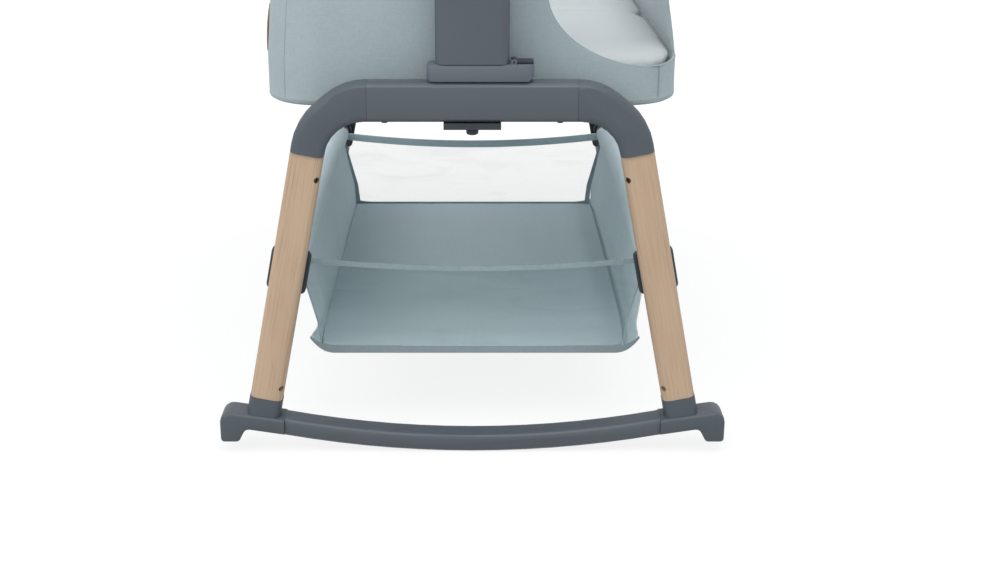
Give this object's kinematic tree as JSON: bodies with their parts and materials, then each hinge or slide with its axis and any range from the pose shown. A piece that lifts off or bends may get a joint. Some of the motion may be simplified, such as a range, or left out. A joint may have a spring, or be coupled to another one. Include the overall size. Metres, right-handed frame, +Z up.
{
  "type": "bedside crib",
  "caption": "Bedside crib on a rocking stand: wooden legs, curved rails, sliding height-adjustable bassinet with sheer windows, and a fabric basket slung below.",
  "frame": {"origin": "on the floor under the plan centre, at the lowest line of the rocker rails", "axes": "+X towards the open side that stands against the bed, +Y from the near end frame to the far one along the length, +Z up"},
  "size_m": [0.677, 0.91, 0.7927],
  "materials": {
    "painted_metal": "satin slate paint",
    "grey_plastic": "satin slate moulding",
    "dark_plastic": "matte",
    "oak": "matte lacquer on pale oak",
    "steel": "dark plated",
    "teal_fabric": "melange weave",
    "sheer_mesh": "open knitted mesh",
    "mattress_cover": "fine jersey",
    "base_board": "stiff board",
    "leather": "brown grain"
  },
  "bodies": {
    "stand": {"beam_near": "painted_metal", "rocker_rail_near": "painted_metal", "basket_end_near": "sheer_mesh", "corner_casting_near_left": "grey_plastic", "foot_near_left": "grey_plastic", "leg_near_left": "oak", "leg_screw_near_left": "steel", "tube_bracket_near_left": "dark_plastic", "slide_stop_near_left": "dark_plastic", "corner_casting_near_right": "grey_plastic", "foot_near_right": "grey_plastic", "leg_near_right": "oak", "leg_screw_near_right": "steel", "tube_bracket_near_right": "dark_plastic", "slide_stop_near_right": "dark_plastic", "beam_far": "painted_metal", "rocker_rail_far": "painted_metal", "basket_end_far": "sheer_mesh", "corner_casting_far_left": "grey_plastic", "foot_far_left": "grey_plastic", "leg_far_left": "oak", "leg_screw_far_left": "steel", "tube_bracket_far_left": "dark_plastic", "slide_stop_far_left": "dark_plastic", "corner_casting_far_right": "grey_plastic", "foot_far_right": "grey_plastic", "leg_far_right": "oak", "leg_screw_far_right": "steel", "tube_bracket_far_right": "dark_plastic", "slide_stop_far_right": "dark_plastic", "side_tube_left": "painted_metal", "basket_wall_left": "teal_fabric", "side_tube_right": "painted_metal", "basket_wall_right": "teal_fabric", "basket_floor": "teal_fabric"},
    "carriage": {"collar_near": "grey_plastic", "under_plate_near": "dark_plastic", "outer_column_near": "painted_metal", "collar_far": "grey_plastic", "under_plate_far": "dark_plastic", "outer_column_far": "painted_metal"},
    "bassinet": {"inner_column_near": "painted_metal", "bassinet_end_near": "teal_fabric", "mesh_window_near": "sheer_mesh", "inner_column_far": "painted_metal", "bassinet_end_far": "teal_fabric", "mesh_window_far": "sheer_mesh", "rim_tube": "painted_metal", "bassinet_closed_side": "teal_fabric", "bassinet_open_side": "teal_fabric", "bassinet_tray": "teal_fabric", "base_board": "base_board", "mattress": "mattress_cover", "leather_tab": "leather"},
    "brake_pin_near": {"brake_pin_near": "dark_plastic"},
    "release_lever_near": {"release_lever_near": "dark_plastic"},
    "height_button_near": {"height_button_near": "dark_plastic"},
    "brake_pin_far": {"brake_pin_far": "dark_plastic"},
    "release_lever_far": {"release_lever_far": "dark_plastic"},
    "height_button_far": {"height_button_far": "dark_plastic"}
  },
  "joints": [
    {"name": "side_slide", "type": "slide", "parent": "stand", "child": "carriage", "axis": [1, 0, 0], "range_m": [-0.07, 0.07]},
    {"name": "height_slide", "type": "slide", "parent": "carriage", "child": "bassinet", "axis": [0, 0, 1], "range_m": [0, 0.12]},
    {"name": "release_lever_hinge_near", "type": "hinge", "parent": "carriage", "child": "release_lever_near", "pos_m": [0.05175, -0.43, 0.52812], "axis": [0, -1, 0], "range_deg": [0, 30], "stiffness_Nm_per_rad": 0.04},
    {"name": "brake_pin_slide_near", "type": "slide", "parent": "carriage", "child": "brake_pin_near", "axis": [0, 0, -1], "range_m": [0, 0.003]},
    {"name": "height_button_slide_near", "type": "slide", "parent": "bassinet", "child": "height_button_near", "axis": [0, 1, 0], "range_m": [0, 0.004], "stiffness_N_per_m": 300},
    {"name": "release_lever_hinge_far", "type": "hinge", "parent": "carriage", "child": "release_lever_far", "pos_m": [0.05175, 0.43, 0.52812], "axis": [0, -1, 0], "range_deg": [0, 30], "stiffness_Nm_per_rad": 0.04},
    {"name": "brake_pin_slide_far", "type": "slide", "parent": "carriage", "child": "brake_pin_far", "axis": [0, 0, -1], "range_m": [0, 0.003]},
    {"name": "height_button_slide_far", "type": "slide", "parent": "bassinet", "child": "height_button_far", "axis": [0, -1, 0], "range_m": [0, 0.004], "stiffness_N_per_m": 300}
  ],
  "couplings": [
    {"joint": "release_lever_hinge_near", "follows": "brake_pin_slide_near", "rad_per_m": 174.45},
    {"joint": "release_lever_hinge_far", "follows": "brake_pin_slide_far", "rad_per_m": 174.45}
  ]
}
